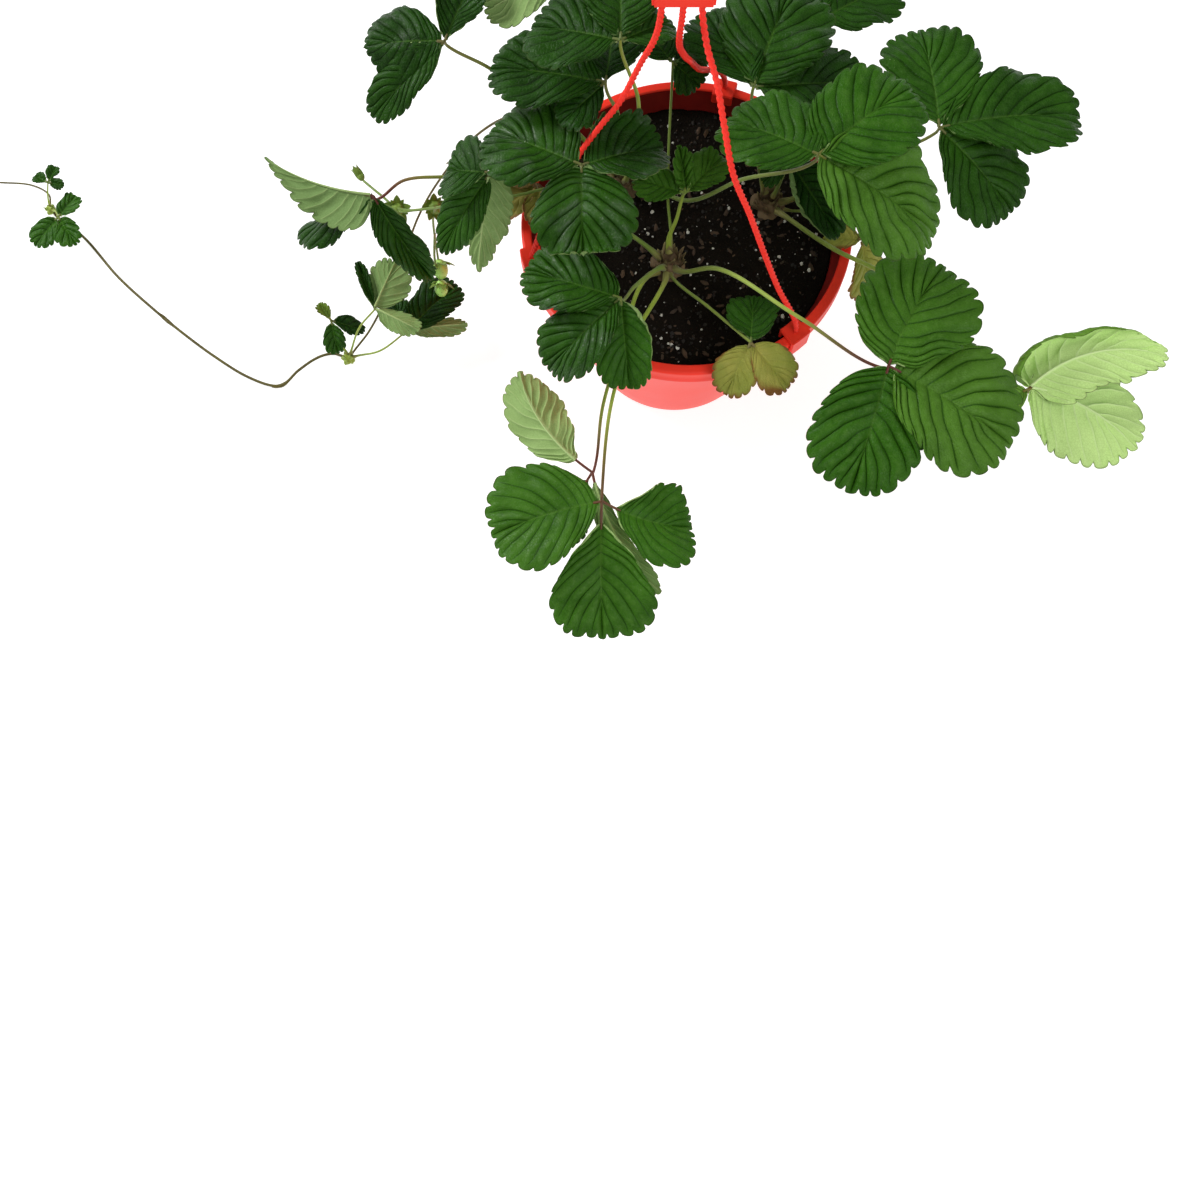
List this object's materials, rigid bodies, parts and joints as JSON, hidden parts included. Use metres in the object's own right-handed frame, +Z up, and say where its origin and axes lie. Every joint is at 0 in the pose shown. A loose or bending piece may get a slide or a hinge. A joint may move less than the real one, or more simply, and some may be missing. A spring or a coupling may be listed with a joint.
{
  "type": "potted strawberry plant",
  "caption": "Strawberry plant with toothed three-part leaves, a flower stalk and rooting runners, in a round tapered pot with a slack hanger, standing on its base.",
  "frame": {"origin": "middle of the pot's flat base, on the surface that it stands on", "axes": "+Z up through the pot; +X to the right, away from the trailing runner, which lies to -X; +Y to the back"},
  "size_m": [0.8176, 0.4157, 0.3809],
  "materials": {
    "red_plastic": "moulded, soft gloss",
    "potting_soil": "dark peat and bark with white perlite grains",
    "leaf": "ribbed, glossy above, paler and matt below",
    "leaf_stalk": "fine-haired, green turning red-brown near the leaf",
    "young_green": "soft, fine-haired",
    "crown": "scaly brown sheaths",
    "runner": "wiry, olive brown",
    "old_leaf": "dry, yellow and brown"
  },
  "bodies": {
    "root": {"crown_back": "crown", "crown_front": "crown", "crown_right": "crown", "dead_leaf": "old_leaf", "flower_truss": "young_green", "hanger_hook": "red_plastic", "hanger_strand_back": "red_plastic", "hanger_strand_left": "red_plastic", "hanger_strand_right": "red_plastic", "leaf_a_blade": "leaf", "leaf_a_stalk": "leaf_stalk", "leaf_b_blade": "leaf", "leaf_b_stalk": "leaf_stalk", "leaf_c_blade": "leaf", "leaf_c_stalk": "leaf_stalk", "leaf_d_blade": "leaf", "leaf_d_stalk": "leaf_stalk", "leaf_e_blade": "leaf", "leaf_e_stalk": "leaf_stalk", "leaf_f_blade": "leaf", "leaf_f_stalk": "leaf_stalk", "leaf_g_blade": "leaf", "leaf_g_stalk": "leaf_stalk", "leaf_i": "leaf", "leaf_j_blade": "leaf", "leaf_j_stalk": "leaf_stalk", "leaf_k_blade": "leaf", "leaf_k_stalk": "leaf_stalk", "leaf_l_blade": "leaf", "leaf_l_stalk": "leaf_stalk", "leaf_m_blade": "leaf", "leaf_m_stalk": "leaf_stalk", "leaf_n_blade": "leaf", "leaf_n_stalk": "leaf_stalk", "leaf_o_blade": "leaf", "leaf_o_stalk": "leaf_stalk", "leaf_p_blade": "leaf", "leaf_p_stalk": "leaf_stalk", "leaf_q": "leaf", "leaf_r_blade": "leaf", "leaf_r_stalk": "leaf_stalk", "leaf_s_blade": "leaf", "leaf_s_stalk": "leaf_stalk", "leaf_y_blade": "leaf", "leaf_y_stalk": "leaf_stalk", "leaf_z": "leaf", "old_leaf": "old_leaf", "plantlet_1_crown": "young_green", "plantlet_1_leaf_1": "leaf", "plantlet_1_leaf_2": "leaf", "plantlet_1_young_leaf": "leaf", "plantlet_2_crown": "young_green", "plantlet_2_leaf_1": "leaf", "plantlet_2_leaf_2": "leaf", "pot": "red_plastic", "runner_1": "runner", "runner_2": "runner", "runner_3": "runner", "soil": "potting_soil"}
  },
  "joints": []
}
